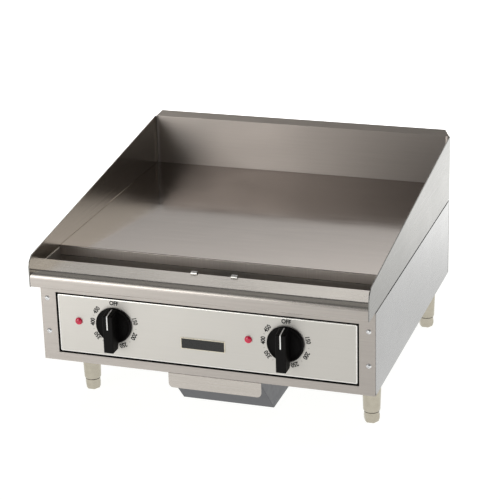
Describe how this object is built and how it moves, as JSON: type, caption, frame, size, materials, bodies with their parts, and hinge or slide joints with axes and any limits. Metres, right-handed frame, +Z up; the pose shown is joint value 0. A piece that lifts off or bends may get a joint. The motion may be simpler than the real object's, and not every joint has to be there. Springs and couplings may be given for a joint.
{
  "type": "flat top griddle",
  "caption": "Counter-top electric griddle: ground plate with splash guards, front ledge and grease trough, control panel with knobs, adjustable legs and a slide-out grease drawer.",
  "frame": {"origin": "on the counter, under the middle of the griddle's outline", "axes": "+Z up, -Y towards the cook at the front, +X to the cook's right"},
  "size_m": [0.61, 0.6374, 0.3999],
  "materials": {
    "stainless_sheet": "brushed stainless sheet",
    "panel_sheet": "satin stainless sheet",
    "ground_plate": "ground steel plate",
    "aluminised_sheet": "dull coated steel sheet",
    "nickel_fitting": "satin nickel plate",
    "zinc_fastener": "bright zinc plate",
    "black_phenolic": "moulded, slight gloss",
    "badge_black": "printed foil, satin",
    "red_lens": "clear red moulding",
    "ceramic": "unglazed moulding",
    "element_sheath": "heat-tinted alloy tube",
    "mineral_wool": "felted fibre",
    "copper_tube": "drawn, dull",
    "wire_insulation": "extruded sleeve"
  },
  "bodies": {
    "cabinet": {"base_pan": "aluminised_sheet", "left_side_panel": "stainless_sheet", "right_side_panel": "stainless_sheet", "rear_panel": "stainless_sheet", "front_frame": "stainless_sheet", "control_panel": "panel_sheet", "control_backplate": "aluminised_sheet", "frame_screws": "zinc_fastener", "rear_screws": "zinc_fastener", "badge_plate": "badge_black", "supply_bushing": "black_phenolic", "leg_front_left": "nickel_fitting", "leg_front_right": "nickel_fitting", "leg_rear_left": "nickel_fitting", "leg_rear_right": "nickel_fitting", "leg_plates": "aluminised_sheet", "leg_nuts": "zinc_fastener", "griddle_plate": "ground_plate", "left_splash": "stainless_sheet", "right_splash": "stainless_sheet", "back_splash": "stainless_sheet", "front_rail": "stainless_sheet", "grease_trough": "stainless_sheet", "drain_chute": "aluminised_sheet", "drain_guard": "stainless_sheet", "plate_support_left": "aluminised_sheet", "plate_support_right": "aluminised_sheet", "drawer_runner_left": "zinc_fastener", "drawer_runner_right": "zinc_fastener", "runner_screws": "zinc_fastener", "thermostat_left": "ceramic", "thermostat_right": "ceramic", "thermostat_screws": "zinc_fastener", "lamp_lens_left": "red_lens", "lamp_lens_right": "red_lens", "lamp_body_left": "ceramic", "lamp_body_right": "ceramic", "lamp_nuts": "zinc_fastener", "heating_element_left": "element_sheath", "heating_element_right": "element_sheath", "element_clamps": "zinc_fastener", "clamp_studs": "zinc_fastener", "clamp_nuts": "zinc_fastener", "insulation_blanket": "mineral_wool", "heat_baffle": "aluminised_sheet", "sensing_bulb_left": "copper_tube", "sensing_bulb_right": "copper_tube", "terminal_block": "black_phenolic", "lead_wires": "wire_insulation"},
    "left_knob_unit": {"knob_left": "black_phenolic", "thermostat_shaft_left": "zinc_fastener"},
    "right_knob_unit": {"knob_right": "black_phenolic", "thermostat_shaft_right": "zinc_fastener"},
    "drawer_unit": {"grease_drawer": "aluminised_sheet", "drawer_pull": "stainless_sheet"},
    "foot_front_left_unit": {"foot_front_left": "nickel_fitting"},
    "foot_front_right_unit": {"foot_front_right": "nickel_fitting"},
    "foot_rear_left_unit": {"foot_rear_left": "nickel_fitting"},
    "foot_rear_right_unit": {"foot_rear_right": "nickel_fitting"}
  },
  "joints": [
    {"name": "left_knob_turn", "type": "hinge", "parent": "cabinet", "child": "left_knob_unit", "pos_m": [-0.1675, -0.27766, 0.187], "axis": [0, 1, 0], "range_deg": [0, 310]},
    {"name": "right_knob_turn", "type": "hinge", "parent": "cabinet", "child": "right_knob_unit", "pos_m": [0.1475, -0.27766, 0.187], "axis": [0, 1, 0], "range_deg": [0, 310]},
    {"name": "drawer_slide", "type": "slide", "parent": "cabinet", "child": "drawer_unit", "axis": [0, -1, 0], "range_m": [0, 0.25]},
    {"name": "foot_front_left_screw", "type": "slide", "parent": "cabinet", "child": "foot_front_left_unit", "axis": [0, 0, -1], "range_m": [0, 0.02]},
    {"name": "foot_front_right_screw", "type": "slide", "parent": "cabinet", "child": "foot_front_right_unit", "axis": [0, 0, -1], "range_m": [0, 0.02]},
    {"name": "foot_rear_left_screw", "type": "slide", "parent": "cabinet", "child": "foot_rear_left_unit", "axis": [0, 0, -1], "range_m": [0, 0.02]},
    {"name": "foot_rear_right_screw", "type": "slide", "parent": "cabinet", "child": "foot_rear_right_unit", "axis": [0, 0, -1], "range_m": [0, 0.02]}
  ]
}
